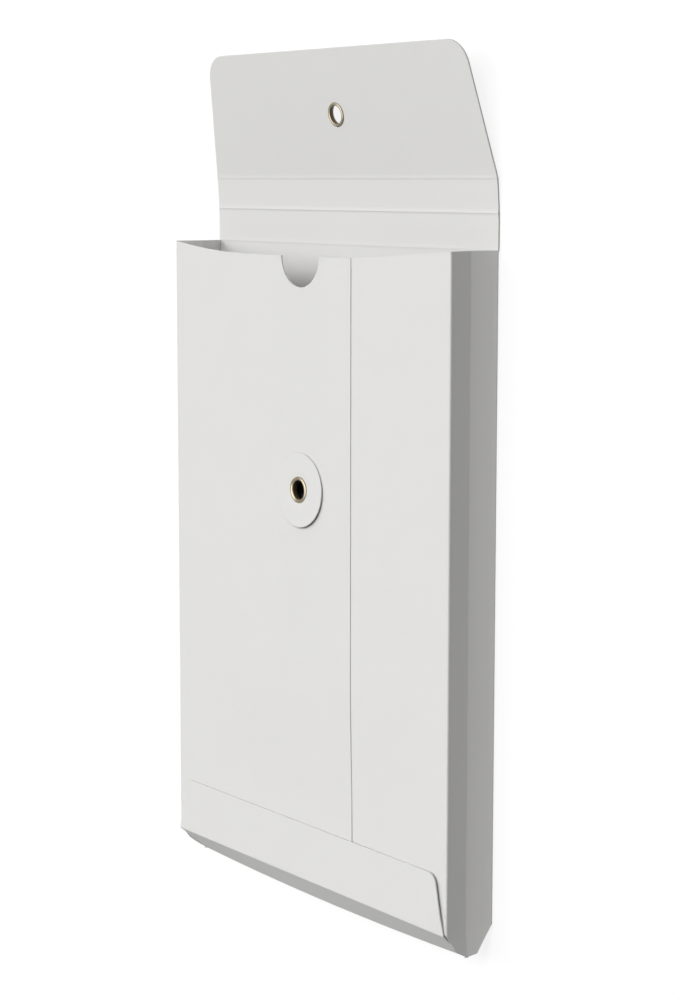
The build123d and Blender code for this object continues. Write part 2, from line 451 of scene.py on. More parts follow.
def finish_mesh(name, points, faces, materials, slots=None, wear=None, sharp=40):
    """Object with smooth faces, split where they meet at more than an angle in degrees."""
    mesh = bpy.data.meshes.new(name)
    mesh.from_pydata(points.tolist(), [], faces)
    mesh.polygons.foreach_set("use_smooth", [True] * len(mesh.polygons))
    mesh.set_sharp_from_angle(angle=radians(sharp))
    for material in materials:
        mesh.materials.append(material)
    if slots is not None:
        mesh.polygons.foreach_set("material_index", slots)
    if wear is not None:
        mesh.attributes.new("fold_wear", "FLOAT", "POINT").data.foreach_set("value", wear)
    if mesh.validate():
        raise RuntimeError(f"{name} has faulty faces")
    mesh.update()
    piece = bpy.data.objects.new(name, mesh)
    bpy.context.scene.collection.objects.link(piece)
    return piece


def grid_points(ring, spacing, columns):
    """Grid over the box of a ring, with further columns where a bend needs them."""
    low, high = ring.min(axis=0), ring.max(axis=0)
    spans = [np.linspace(a, b, max(2, round((b - a) / spacing) + 1))[1:-1] for a, b in zip(low, high)]
    across = np.unique(np.concatenate([spans[0], np.array(columns, float)]))
    return np.array([(x, y) for x in across for y in spans[1]]).reshape(-1, 2)


def clear_points(points, rings, clearance):
    """The points inside the first ring, outside the holes and clear of every ring."""
    clear = inside(points, rings[0])
    for hole in rings[1:]:
        clear &= ~inside(points, hole)
    for ring in rings:
        for part in np.array_split(ring, max(1, len(ring) // RING_PART)):
            gap = np.linalg.norm(points[:, None, :] - part[None, :, :], axis=2).min(axis=1)
            clear &= gap > clearance
    return points[clear]


def sheet(name, node, body, axes, loops, warp=None, mirrored=False, columns=(), inner=None):
    """Card sheet between its inner and outer face. axes is (origin on the inner face, u, v, outward).

    Each loop of (u, v, edge kind) is swept in rings from the inner face over the rim to the outer face, and
    triangles fill both faces. inner is a further closed shell on the sheet, as points and faces.
    """
    card = bpy.context.scene.envelope_card
    origin, u_axis, v_axis, outward = (np.array(a, float) for a in axes)
    rings = [(0.0, inset) for inset in FACE_INSETS] + [(h, 0.0) for h in RING_HEIGHTS]
    rings += [(CARD, inset) for inset in reversed(FACE_INSETS)]
    rim_start, rim_end = len(FACE_INSETS), len(rings) - len(FACE_INSETS) - 1
    flat, heights, wear, faces, slots = [], [], [], [], []
    ends = {0: [], len(rings) - 1: []}
    end_ids = {0: [], len(rings) - 1: []}
    total = 0
    for loop in loops:
        corners = np.array([point[:2] for point in loop], float)
        corner_kinds = [point[2] for point in loop]
        counts = edge_counts(corners, card.step)
        kinds = [kind for kind, share in zip(corner_kinds, counts) for _ in range(share)]
        count = len(kinds)
        folded = np.array([kind != "cut" for kind in kinds], float)
        folded = np.minimum(folded, np.roll(folded, 1))
        for k, (height, inset) in enumerate(rings):
            ring = split(widened(corners, corner_kinds, height, card.edge_round, inset), counts)
            flat.append(ring)
            heights.append(np.full(count, height))
            wear.append(folded * (0.0 if inset else 1.0))
            ids = np.arange(count) + total + k * count
            if k in ends:
                ends[k].append(ring)
                end_ids[k].append(ids)
            if k + 1 < len(rings):
                rim = rim_start <= k < rim_end
                for i in range(count):
                    j = (i + 1) % count
                    faces.append((ids[i], ids[j], ids[j] + count, ids[i] + count))
                    slots.append(1 if rim and kinds[i] == "cut" else 0)
        total += count * len(rings)
    extra = grid_points(ends[0][0], card.grid, columns)
    for k in ends:
        points = clear_points(extra, ends[k], card.step * EDGE_CLEARANCE)
        ids = np.concatenate(end_ids[k] + [np.arange(len(points)) + total])
        for a, b, c in ids[fill(ends[k], points)].tolist():
            faces.append((a, b, c) if k else (c, b, a))
            slots.append(0)
        flat.append(points)
        heights.append(np.full(len(points), rings[k][0]))
        wear.append(np.zeros(len(points)))
        total += len(points)
    flat, heights = np.concatenate(flat), np.concatenate(heights)
    if warp is not None:
        heights = warp(flat[:, 0], flat[:, 1], heights)
    world = origin + flat[:, :1] * u_axis + flat[:, 1:] * v_axis + heights[:, None] * outward
    faces = [tuple(int(i) for i in face) for face in faces]
    if mirrored:
        world = world * np.array([-1.0, 1.0, 1.0])
        faces = [face[::-1] for face in faces]
    if inner is not None:
        faces += [tuple(int(i) + len(world) for i in face) for face in inner[1]]
        slots += [0] * len(inner[1])
        wear.append(np.zeros(len(inner[0])))
        world = np.concatenate([world, inner[0]])
    piece = finish_mesh(name, world, faces, [card_face(), card_core()], slots, np.concatenate(wear))
    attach(piece, body)
    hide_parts(node)


def smooth_step(share):
    """Smooth rise from nought to one."""
    share = np.clip(share, 0, 1)
    return share * share * (3 - 2 * share)


def circle(x, y, radius, count=64):
    """Hole in a sheet: a clockwise loop of cut edges."""
    turns = [-2 * pi * i / count for i in range(count)]
    return [(x + radius * cos(a), y + radius * sin(a), "cut") for a in turns]


def arc(middle, radii, start, end, count):
    """Points on part of an ellipse, from one angle to another in degrees."""
    turns = [radians(start + (end - start) * i / count) for i in range(count + 1)]
    return [(middle[0] + radii[0] * cos(turn), middle[1] + radii[1] * sin(turn)) for turn in turns]


def rounded(corner, before, after, radius, kind="cut", count=10):
    """Points of a corner rounded between two neighbouring corners."""
    here = Vector(corner)
    to_before = (Vector(before) - here).normalized()
    to_after = (Vector(after) - here).normalized()
    half = to_before.angle(to_after) / 2
    middle = here + (to_before + to_after).normalized() * (radius / sin(half))
    first = here + to_before * (radius / tan(half)) - middle
    last = here + to_after * (radius / tan(half)) - middle
    turn = atan2(first.x * last.y - first.y * last.x, first.dot(last))
    points = []
    for i in range(count + 1):
        a = turn * i / count
        points.append((middle.x + first.x * cos(a) - first.y * sin(a),
                       middle.y + first.x * sin(a) + first.y * cos(a), kind))
    return points


def lip(foot_half, top_half, foot_y, top_y, radius, foot_kind):
    """Outline with a folded or scored foot and two rounded upper corners."""
    a, b = (-foot_half, foot_y), (foot_half, foot_y)
    c, d = (top_half, top_y), (-top_half, top_y)
    return [(*a, foot_kind), (*b, "cut")] + rounded(c, b, d, radius) + rounded(d, c, a, radius)


def wave(seed, window_x, window_y):
    """Slow out-of-flat shape of a sheet that dies away at the given half sizes from the middle."""
    draw = np.random.default_rng(seed)
    turns = draw.uniform(0, 2 * pi, 2 * WAVE_COUNT)
    rates = draw.uniform(*WAVE_RATES, 2 * WAVE_COUNT)

    def shape(x, y):
        depth = bpy.context.scene.envelope_card.wave
        s, t = x / window_x, y / window_y
        fade = np.clip(1 - s ** 2, 0, 1) * np.clip(1 - t ** 2, 0, 1)
        swell = sum(
            np.sin(rates[i] * pi * s + turns[i])
            * np.cos(rates[i + WAVE_COUNT] * WAVE_STRETCH * pi * t + turns[i + WAVE_COUNT])
            for i in range(WAVE_COUNT)
        )
        return depth * fade * swell / 2

    return shape


def turned(name, profile, place, materials, slots=None, warp=None, sharp=40, polish_and_shade=None):
    """Round piece from a closed run of (radius, height) points, about the place's third axis."""
    count = bpy.context.scene.envelope_brass.turns
    angles = np.arange(count) * 2 * pi / count
    points, faces, marks = [], [], []
    for radius, height in profile:
        for angle in angles:
            lift = warp(radius, angle, height) if warp else (0.0, 0.0)
            reached = radius + lift[0]
            points.append((reached * cos(angle), reached * sin(angle), height + lift[1]))
    rows = len(profile)
    for k in range(rows):
        n = (k + 1) % rows
        for i in range(count):
            j = (i + 1) % count
            faces.append((k * count + i, k * count + j, n * count + j, n * count + i))
            marks.append(slots[k] if slots else 0)
    world = np.array([place @ Vector(p) for p in points])
    piece = finish_mesh(name, world, faces, materials, marks, sharp=sharp)
    # Per-row brightness of the brass, which also paints shade and dark reflection low on the eyelet and in its
    # bore
    if polish_and_shade:
        shine = piece.data.attributes.new("polish_and_shade", "FLOAT", "POINT")
        shine.data.foreach_set("value", np.repeat(polish_and_shade, count))
    return piece


# Materials
def new_group(name, inputs, outputs):
    """Empty shader node group with named sockets, and its input and output nodes."""
    group = bpy.data.node_groups.new(name, "ShaderNodeTree")
    for label, value in inputs.items():
        socket = group.interface.new_socket(label, in_out="INPUT", socket_type="NodeSocketFloat")
        socket.default_value = value
    for label in outputs:
        group.interface.new_socket(label, in_out="OUTPUT", socket_type="NodeSocketFloat")
    return group, group.nodes.new("NodeGroupInput"), group.nodes.new("NodeGroupOutput")


def connect(tree, node, links):
    """Sets or links the inputs of a node by socket name or number."""
    for label, value in links.items():
        if isinstance(value, bpy.types.NodeSocket):
            tree.links.new(value, node.inputs[label])
        else:
            node.inputs[label].default_value = value


def add(tree, kind, links=None, **values):
    """Node with properties set by name, and inputs set or linked by socket name or number."""
    made = tree.nodes.new(kind)
    for label, value in values.items():
        setattr(made, label, value)
    connect(tree, made, links or {})
    return made


def maths(tree, operation, *values):
    """Output of a maths node."""
    return add(tree, "ShaderNodeMath", dict(enumerate(values)), operation=operation).outputs[0]


def noise(tree, place, scale, detail=3.0, rough=0.55):
    """Output of a noise texture, from nought to one."""
    made = add(tree, "ShaderNodeTexNoise",
               {"Vector": place, "Scale": scale, "Detail": detail, "Roughness": rough})
    return made.outputs[0]


def blend(tree, value, low, high, start=0.0, end=1.0):
    """Output that goes from one colour to another as a value goes from start to end."""
    ramp = add(tree, "ShaderNodeValToRGB", {"Fac": value})
    for element, place, colour in zip(ramp.color_ramp.elements, (start, end), (low, high)):
        element.position = place
        element.color = (*colour, 1)
    return ramp.outputs[0]


def fibre_group():
    """Pulp of the card: clouds and short crossing fibres, with the height and roughness they make."""
    if "Card fibre" in bpy.data.node_groups:
        return bpy.data.node_groups["Card fibre"]
    group, ins, outs = new_group("Card fibre", {"Clouds": 0.02, "Fibres": 0.02},
                                 ("Tone", "Height", "Roughness"))
    place = add(group, "ShaderNodeTexCoord").outputs["Object"]
    clouds = noise(group, place, CLOUD_SCALE)
    fine = noise(group, place, PULP_SCALE, detail=4.0, rough=0.65)
    runs = []
    for turn in FIBRE_TURNS:
        laid = add(group, "ShaderNodeMapping",
                   {"Vector": place, "Rotation": (0.0, 0.0, turn), "Scale": FIBRE_SCALE})
        runs.append(noise(group, laid.outputs[0], scale=1.0, detail=2.0))
    crossed = maths(group, "MAXIMUM", maths(group, "MAXIMUM", runs[0], runs[1]), runs[2])
    pulp = maths(group, "MULTIPLY_ADD", crossed, FIBRE_SHARE, maths(group, "MULTIPLY", fine, 1 - FIBRE_SHARE))
    cloud_part = maths(group, "MULTIPLY", maths(group, "SUBTRACT", clouds, 0.5), ins.outputs["Clouds"])
    pulp_part = maths(group, "MULTIPLY", maths(group, "SUBTRACT", pulp, PULP_MIDDLE), ins.outputs["Fibres"])
    tone = maths(group, "ADD", 1.0, maths(group, "ADD", cloud_part, pulp_part))
    rough = maths(group, "MULTIPLY_ADD", pulp, CARD_ROUGH_SPAN, CARD_ROUGH_LOW)
    connect(group, outs, {"Tone": tone, "Height": pulp, "Roughness": rough})
    return group


def wear_group():
    """Fold lines and their broken, whitened fibres."""
    if "Fold wear" in bpy.data.node_groups:
        return bpy.data.node_groups["Fold wear"]
    group, ins, outs = new_group("Fold wear", {"Strength": 0.5}, ("Mask",))
    place = add(group, "ShaderNodeTexCoord").outputs["Object"]
    line = add(group, "ShaderNodeAttribute", attribute_name="fold_wear").outputs["Fac"]
    broken = maths(group, "MULTIPLY_ADD", noise(group, place, WEAR_SCALE), WEAR_GAIN, WEAR_BIAS)
    mask = maths(group, "MULTIPLY", maths(group, "MULTIPLY", line, broken), ins.outputs["Strength"])
    held = add(group, "ShaderNodeClamp", {"Value": mask})
    connect(group, outs, {"Mask": held.outputs[0]})
    return group


def new_material(name):
    """Material with an empty Principled surface."""
    made = bpy.data.materials.new(name)
    made.use_nodes = True
    return made, made.node_tree, made.node_tree.nodes["Principled BSDF"]


def card_finish(name, colour, worn, clouds, fibres, bump):
    """Uncoated white board: clouded pulp, crossing fibres and whitened folds."""
    made, tree, surface = new_material(name)
    pulp = add(tree, "ShaderNodeGroup", {"Clouds": clouds, "Fibres": fibres}, node_tree=fibre_group())
    fold = add(tree, "ShaderNodeGroup", {"Strength": FOLD_WEAR}, node_tree=wear_group())
    mixed = add(tree, "ShaderNodeMix", {0: fold.outputs["Mask"], "A": (*colour, 1), "B": (*worn, 1)},
                data_type="RGBA")
    toned = add(tree, "ShaderNodeVectorMath", {0: mixed.outputs["Result"], "Scale": pulp.outputs["Tone"]},
                operation="SCALE")
    raised = add(tree, "ShaderNodeBump",
                 {"Strength": bump, "Distance": PULP_DEPTH, "Height": pulp.outputs["Height"]})
    connect(tree, surface, {
        "Base Color": toned.outputs[0], "Roughness": pulp.outputs["Roughness"],
        "Normal": raised.outputs[0], "Specular IOR Level": CARD_SPECULAR,
    })
    return made


def card_face():
    """Face of the card."""
    card = bpy.context.scene.envelope_card
    return bpy.data.materials.get("White card") or card_finish(
        "White card", card.colour, card.worn, clouds=0.022, fibres=0.03, bump=0.25)


def card_core():
    """Cut edge of the card."""
    card = bpy.context.scene.envelope_card
    return bpy.data.materials.get("Card cut edge") or card_finish(
        "Card cut edge", card.core, card.core, clouds=0.05, fibres=0.12, bump=0.6)


def brass_finish():
    """Brass: bright where it stands out of the card, dark in the bore, under the flange and near the rolled
    end; that dark colour is partly dull metal and partly painted shade and painted dark reflection.
    """
    if "Eyelet brass" in bpy.data.materials:
        return bpy.data.materials["Eyelet brass"]
    brass = bpy.context.scene.envelope_brass
    made, tree, surface = new_material("Eyelet brass")
    place = add(tree, "ShaderNodeTexCoord").outputs["Object"]
    # Polished share from the mesh; its dark end paints the shade in the bore and the dark reflections at the
    # edges
    bright_and_shade_mask = add(tree, "ShaderNodeAttribute", attribute_name="polish_and_shade").outputs["Fac"]
    spots = noise(tree, place, SPOT_SCALE, detail=4.0, rough=0.6)
    brightness_and_shade = maths(tree, "ADD", bright_and_shade_mask, maths(tree, "MULTIPLY_ADD", spots, SPOT_SPAN, -SPOT_SPAN / 2))
    metal = blend(tree, brightness_and_shade, brass.tarnish_and_shade, brass.colour, TARNISH_AND_SHADE_END, BRIGHT_START)
    rough = add(tree, "ShaderNodeMapRange",
                {"Value": brightness_and_shade, "To Min": BRASS_ROUGH_DULL, "To Max": BRASS_ROUGH_BRIGHT})
    marks = noise(tree, place, MARK_SCALE, rough=0.6)
    raised = add(tree, "ShaderNodeBump", {"Strength": MARK_STRENGTH, "Distance": MARK_DEPTH, "Height": marks})
    bare = add(tree, "ShaderNodeMapRange", {"Value": brightness_and_shade, "To Min": BRASS_METAL_DULL, "To Max": 1.0})
    connect(tree, surface, {
        "Base Color": metal, "Roughness": rough.outputs[0],
        "Normal": raised.outputs[0], "Metallic": bare.outputs[0],
    })
    return made


def glue_finish():
    """Dried white glue: cream, a little glossy, with small blisters."""
    if "Dried glue" in bpy.data.materials:
        return bpy.data.materials["Dried glue"]
    made, tree, surface = new_material("Dried glue")
    place = add(tree, "ShaderNodeTexCoord").outputs["Object"]
    blisters = noise(tree, place, BLISTER_SCALE, detail=2.0)
    cream = blend(tree, noise(tree, place, GLUE_SCALE), GLUE_DARK, GLUE_LIGHT)
    rough = maths(tree, "MULTIPLY_ADD", blisters, GLUE_ROUGH_SPAN, GLUE_ROUGH_LOW)
    raised = add(tree, "ShaderNodeBump",
                 {"Strength": BLISTER_STRENGTH, "Distance": BLISTER_DEPTH, "Height": blisters})
    connect(tree, surface, {"Base Color": cream, "Roughness": rough, "Normal": raised.outputs[0]})
    return made


# Pieces
class ENVELOPE_OT_back(bpy.types.Operator):
    """Builds the back sheet, rounded where the walls fold up from it"""

    bl_idname = "envelope.back"
    bl_label = "Back sheet"

    def execute(self, context):
        loop = [
            (-FOLD_X, BOTTOM_Y, "bottom_fold"),
            (FOLD_X, BOTTOM_Y, "fold"),
            (FOLD_X, MOUTH_Y, "score"),
            (-FOLD_X, MOUTH_Y, "fold"),
        ]
        inner = Vector((0, 0, BACK_HIGH.z))
        swell = wave(seed=3, window_x=HALF_WIDTH, window_y=MOUTH_Y)
        sheet("back_sheet", "back_panel", "back", (inner, -X, Y, -Z), [loop],
              warp=lambda x, y, h: h - np.abs(swell(x, y)) - bead(MOUTH_Y - y, MOUTH_BEAD, BEAD_STEEP))
        return {"FINISHED"}


class ENVELOPE_OT_walls(bpy.types.Operator):
    """Builds the two halves of each side wall, creased inwards"""

    bl_idname = "envelope.walls"
    bl_label = "Side walls"

    def execute(self, context):
        length = (PIVOTS["right_crease"] - PIVOTS["right_wall_fold"]).dot(
            Vector((-sin(WALL_LEAN), 0, cos(WALL_LEAN))))
        top = MOUTH_Y
        tip = CREASE_Y - WALL_TIP
        left_tab = [(u, BOTTOM_Y - drop) for u, drop in LEFT_TAB]
        left_tab.append((length, BOTTOM_Y - LEFT_TIP))
        rear = {
            "right": [
                (0, -top, "cut"), (length, -top, "crease"), (length, -tip, "cut"),
                (REAR_TAB_START, -tip - REAR_TAB_DROP, "cut"), (0, -BOTTOM_Y - TAB_ROOT, "fold_under"),
            ],
            "left": [
                (0, -top, "cut"), (length, -top, "crease"), *((u, -y, "cut") for u, y in reversed(left_tab)),
                (0, -BOTTOM_Y - TAB_ROOT, "fold_under"),
            ],
        }
        front = {
            "right": [
                (0, BOTTOM_Y - FRONT_TAB_ROOT, "cut"), (FRONT_TAB_START, tip + FRONT_TAB_DROP, "cut"),
                (length, tip, "crease_under"), (length, top, "cut"), (0, top, "fold_under"),
            ],
            "left": [
                (0, BOTTOM_Y + TAB_ROOT, "cut"), *((u, y, "cut") for u, y in left_tab[:-1]),
                (*left_tab[-1], "crease_under"), (length, top, "cut"), (0, top, "fold_under"),
            ],
        }

        def hollowed(depth, sense, flare):
            def warp(u, v, h):
                low = np.clip((BOTTOM_Y - sense * v) / (BOTTOM_Y - CREASE_Y), 0, 1)
                return h - depth * np.sin(pi * np.clip(u / length, 0, 1)) + flare * low

            return warp

        rear_axes = (Vector((FOLD_X, 0, BACK_HIGH.z)), Vector((-sin(WALL_LEAN), 0, cos(WALL_LEAN))), -Y,
                     Vector((cos(WALL_LEAN), 0, sin(WALL_LEAN))))
        front_axes = (Vector((FOLD_X, 0, DEPTH - CARD)), Vector((-sin(WALL_LEAN), 0, -cos(WALL_LEAN))), Y,
                      Vector((cos(WALL_LEAN), 0, -sin(WALL_LEAN))))
        for side in ("right", "left"):
            left = side == "left"
            flare = 0.0 if left else TAB_FLARE
            sheet(f"{side}_wall_rear_sheet", f"side_gusset_{side}_rear", f"{side}_rear_wall", rear_axes,
                  [rear[side]], warp=hollowed(REAR_HOLLOW, -1, flare), mirrored=left)
            sheet(f"{side}_wall_front_sheet", f"side_gusset_{side}_front", f"{side}_front_wall", front_axes,
                  [front[side]], warp=hollowed(FRONT_HOLLOW, 1, flare), mirrored=left)
        return {"FINISHED"}


class ENVELOPE_OT_bottom(bpy.types.Operator):
    """Builds the two halves of the bottom wall and the lip glued up over the front"""

    bl_idname = "envelope.bottom"
    bl_label = "Bottom wall and seal lip"

    def execute(self, context):
        crease_half = CREASE_X - CARD / cos(WALL_LEAN) - END_GAP
        loop, bowed = self.bowed_half(FOLD_X, crease_half)
        for half, sign, fold_z in (("rear", 1, 0.0), ("front", -1, SEAL_HIGH.z)):
            along = Vector((0, -cos(BOTTOM_LEAN), sign * sin(BOTTOM_LEAN)))
            outward = Vector((0, -sin(BOTTOM_LEAN), -sign * cos(BOTTOM_LEAN)))
            start = Vector((0, BOTTOM_Y, fold_z)) - outward * CARD
            sheet(f"bottom_wall_{half}_sheet", f"bottom_gusset_{half}", f"bottom_{half}_wall",
                  (start, X * sign, along, outward), [loop], warp=bowed,
                  inner=self.inner_fold(crease_half) if half == "front" else None)
        foot_half, top_half = HALF_WIDTH - SEAL_FOOT_INSET, HALF_WIDTH - SEAL_TOP_INSET
        outline = lip(foot_half, top_half, BOTTOM_Y, SEAL_HIGH.y, SEAL_CORNER, "bottom_fold")

        def lifted(x, y, h):
            right = np.clip((x - top_half + LIP_LIFT_RUN) / LIP_LIFT_RUN, 0, 1)
            return h + LIP_LIFT * right ** 2 * smooth_step((y - BOTTOM_Y) / LIP_LIFT_RISE)

        sheet("seal_lip_sheet", "bottom_seal_flap", "front", (Vector((0, 0, SEAL_HIGH.z - CARD)), X, Y, Z),
              [outline], warp=lifted)
        return {"FINISHED"}

    def bowed_half(self, fold_half, crease_half):
        """Outline and warp of one half of the bottom wall, whose crease bows out."""

        def bow(u):
            return CREASE_BOW * np.clip(1 - (u / crease_half) ** 2, 0, 1)

        crease = [
            (u, BOTTOM_REACH + cos(BOTTOM_LEAN) * bow(u), "bottom_crease")
            for u in np.linspace(crease_half, -crease_half, CREASE_POINTS)
        ]
        crease[-1] = (*crease[-1][:2], "cut")
        loop = [(-fold_half, 0, "bottom_fold"), (fold_half, 0, "cut")] + crease

        def warp(u, v, h):
            share = np.clip(v / (BOTTOM_REACH + cos(BOTTOM_LEAN) * bow(u)), 0, 1)
            return h + sin(BOTTOM_LEAN) * bow(u) * share

        return loop, warp

    def inner_fold(self, crease_half):
        """Strip inside the bowed crease that closes it when the halves lie flat, as points and faces."""
        across = np.linspace(-crease_half, crease_half, INNER_FOLD_POINTS)
        bow = CREASE_BOW * (1 - (across / crease_half) ** 2)
        down = np.array([0, cos(BOTTOM_LEAN), -sin(BOTTOM_LEAN)])
        inward = np.array([0, sin(BOTTOM_LEAN), cos(BOTTOM_LEAN)])
        corner_y = CREASE_Y + CARD / sin(BOTTOM_LEAN) - bow
        base = np.stack([across, corner_y, np.full(len(across), HALF_BOTTOM)], axis=1)
        base += inward * INNER_FOLD_GAP
        length = np.maximum(INNER_FOLD_REACH * sin(BOTTOM_LEAN) * bow, INNER_FOLD_GAP)[:, None]
        thick = inward * INNER_FOLD
        points = np.concatenate([base, base + length * down, base + length * down + thick, base + thick])
        count = len(across)
        rows = [k * count for k in range(4)]
        faces = [tuple(row + count - 1 for row in rows), tuple(reversed(rows))]
        for here, there in zip(rows, rows[1:] + rows[:1]):
            faces += [(here + i, there + i, there + i + 1, here + i + 1) for i in range(count - 1)]
        return points, faces


def front_bow(x, y):
    """How far the front bulges at a place, nought along its folds and under the lip."""
    return FRONT_BOW * np.clip(1 - (x / FOLD_X) ** 2, 0, 1) * smooth_step((y - SEAL_HIGH.y) / FRONT_BOW_RUN)


class ENVELOPE_OT_front(bpy.types.Operator):
    """Builds the wide and the narrow front sheet, which lap along the seam"""

    bl_idname = "envelope.front"
    bl_label = "Front sheets"

    def execute(self, context):
        axes = (Vector((0, 0, DEPTH - CARD)), X, Y, Z)
        hole = circle(0, PIVOTS["front_button_spin"].y, RIVET_HOLE)
        lap_rise = LAP_CRUSH * CARD + LAP_GAP

        def crushed(x, y, h):
            share = smooth_step((x - SEAM_X + LAP_RUN) / LAP_RUN)
            return CARD - (CARD - h) * (1 - LAP_CRUSH * share) + front_bow(x, y)

        def joggle(x, y, h):
            under = smooth_step((x - SEAM_X + TONGUE_RUN) / TONGUE_RUN)
            out = smooth_step((x - SEAM_X) / JOGGLE_RUN)
            return h - JOGGLE_DROP + lap_rise * under + (JOGGLE_DROP - lap_rise) * out + front_bow(x, y)

        lap = [SEAM_X - LAP_RUN * i / LAP_STEPS for i in range(1, LAP_STEPS + 1)]
        sheet("front_wide_sheet", "front_left_panel", "front", axes, [self.wide_outline(), hole],
              warp=crushed, columns=lap)
        fold_top = THROAT_Y + THROAT_DROP * (FOLD_X - SEAM_X) / (HALF_WIDTH - SEAM_X)
        narrow = [
            (TONGUE_X, FOOT_Y, "cut"), (FOLD_X, FOOT_Y, "fold"), (FOLD_X, fold_top, "cut"),
            (SEAM_X, THROAT_Y, "cut"), (TONGUE_X, THROAT_Y, "cut"),
        ]
        bend = range(-JOGGLE_STEPS // 2, JOGGLE_STEPS + 1)
        sheet("front_narrow_sheet", "front_right_panel", "front", axes, [narrow],
              warp=joggle, columns=[SEAM_X + JOGGLE_RUN * i / JOGGLE_STEPS for i in bend])
        self.lay_seam_film()
        return {"FINISHED"}

    def wide_outline(self):
        """Outline of the wide sheet, with the round notch in its top edge and the rise to the left fold."""
        foot = [(-FOLD_X, FOOT_Y, "cut"), (SEAM_X, FOOT_Y, "cut"), (SEAM_X, THROAT_Y, "cut")]
        notch_start = atan2(-NOTCH_RISE, sqrt(NOTCH_RADIUS ** 2 - NOTCH_RISE ** 2))
        sweep = pi + 2 * notch_start
        notch = []
        for i in range(NOTCH_STEPS + 1):
            turn = notch_start - sweep * i / NOTCH_STEPS
            notch.append((NOTCH_RADIUS * cos(turn), THROAT_Y + NOTCH_RISE + NOTCH_RADIUS * sin(turn), "cut"))
        shoulder_x = THROAT_SHOULDER - HALF_WIDTH
        shoulder_radius = (THROAT_SHOULDER ** 2 + THROAT_DROP ** 2) / (2 * THROAT_DROP)
        shoulder = []
        for i in range(SHOULDER_STEPS + 1):
            across = (FOLD_X + shoulder_x) * i / SHOULDER_STEPS
            rise = shoulder_radius - sqrt(shoulder_radius ** 2 - across ** 2)
            shoulder.append((shoulder_x - across, THROAT_Y + rise, "cut"))
        shoulder[-1] = (*shoulder[-1][:2], "fold")
        return foot + notch + shoulder

    def lay_seam_film(self):
        """Thin film of glue that follows the tongue up to the pressed lap."""
        low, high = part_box("seam_glue")
        across = np.linspace(low.x, high.x, FILM_POINTS_ACROSS)
        along = np.linspace(low.y, high.y, FILM_POINTS_ALONG)
        x, y = (side.ravel() for side in np.meshgrid(across, along, indexing="ij"))
        rise = LAP_CRUSH * CARD * smooth_step((x - SEAM_X + LAP_RUN) / LAP_RUN) + front_bow(x, y)
        points = np.concatenate([np.stack([x, y, z + rise], axis=1) for z in (low.z, high.z)])
        under, rows = len(x), len(along)
        faces = []
        for i in range(len(across) - 1):
            for j in range(rows - 1):
                a = i * rows + j
                faces += [(a, a + 1, a + rows + 1, a + rows)]
                faces += [(under + a, under + a + rows, under + a + rows + 1, under + a + 1)]
        rim = [i * rows for i in range(len(across))] + [under - rows + j for j in range(1, rows)]
        rim += [i * rows + rows - 1 for i in range(len(across) - 2, -1, -1)] + list(range(rows - 2, 0, -1))
        faces += [(a, b, under + b, under + a) for a, b in zip(rim, rim[1:] + rim[:1])]
        film = finish_mesh("seam_glue_film", points, faces, [glue_finish()])
        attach(film, "front")
        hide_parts("seam_glue")


class ENVELOPE_OT_flap(bpy.types.Operator):
    """Builds the flap: two scored strips and the free end with its rounded corners"""

    bl_idname = "envelope.flap"
    bl_label = "Flap"

    def execute(self, context):
        def axes(start, lean):
            return start, -X, Vector((0, cos(lean), sin(lean))), Vector((0, sin(lean), -cos(lean)))

        starts = [PIVOTS[name] for name in ("mouth_fold", "lower_score", "upper_score")]
        for name, body, first, second, lean, low_bead, high_bead in (
            ("lower", "lower_strip", starts[0], starts[1], 0.0, MOUTH_BEAD, LOWER_BEAD),
            ("upper", "upper_strip", starts[1], starts[2], LOWER_LEAN, LOWER_BEAD, UPPER_BEAD),
        ):
            length = (second - first).length

            def beaded(x, y, h):
                return h - bead(y, low_bead, BEAD_SLACK) - bead(length - y, high_bead, BEAD_STEEP)

            loop = [
                (-HALF_WIDTH, 0, "score"), (HALF_WIDTH, 0, "cut"),
                (HALF_WIDTH, length, "score"), (-HALF_WIDTH, length, "cut"),
            ]
            sheet(f"flap_{name}_sheet", f"flap_{name}_strip", body, axes(first, lean), [loop], warp=beaded)
        outline = lip(HALF_WIDTH, HALF_WIDTH - FLAP_TAPER, 0, FLAP_LENGTH, FLAP_CORNER, "score")
        hole = circle(0, FLAP_BUTTON_RISE, RIVET_HOLE)
        sheet("flap_end_sheet", "closing_flap", "flap", axes(starts[2], LOWER_LEAN + UPPER_LEAN),
              [outline, hole], warp=lambda x, y, h: h - bead(y, UPPER_BEAD, BEAD_SLACK))
        return {"FINISHED"}


def rivet_place(joint):
    """Frame of a button or an eyelet: its origin on the card and its third axis out of the card."""
    up = AXES[joint]
    across = X - up * X.dot(up)
    across.normalize()
    place = Matrix((across, up.cross(across), up)).transposed().to_4x4()
    place.translation = PIVOTS[joint]
    if joint == "front_button_spin":
        place.translation += up * float(front_bow(0.0, PIVOTS[joint].y))
    return place


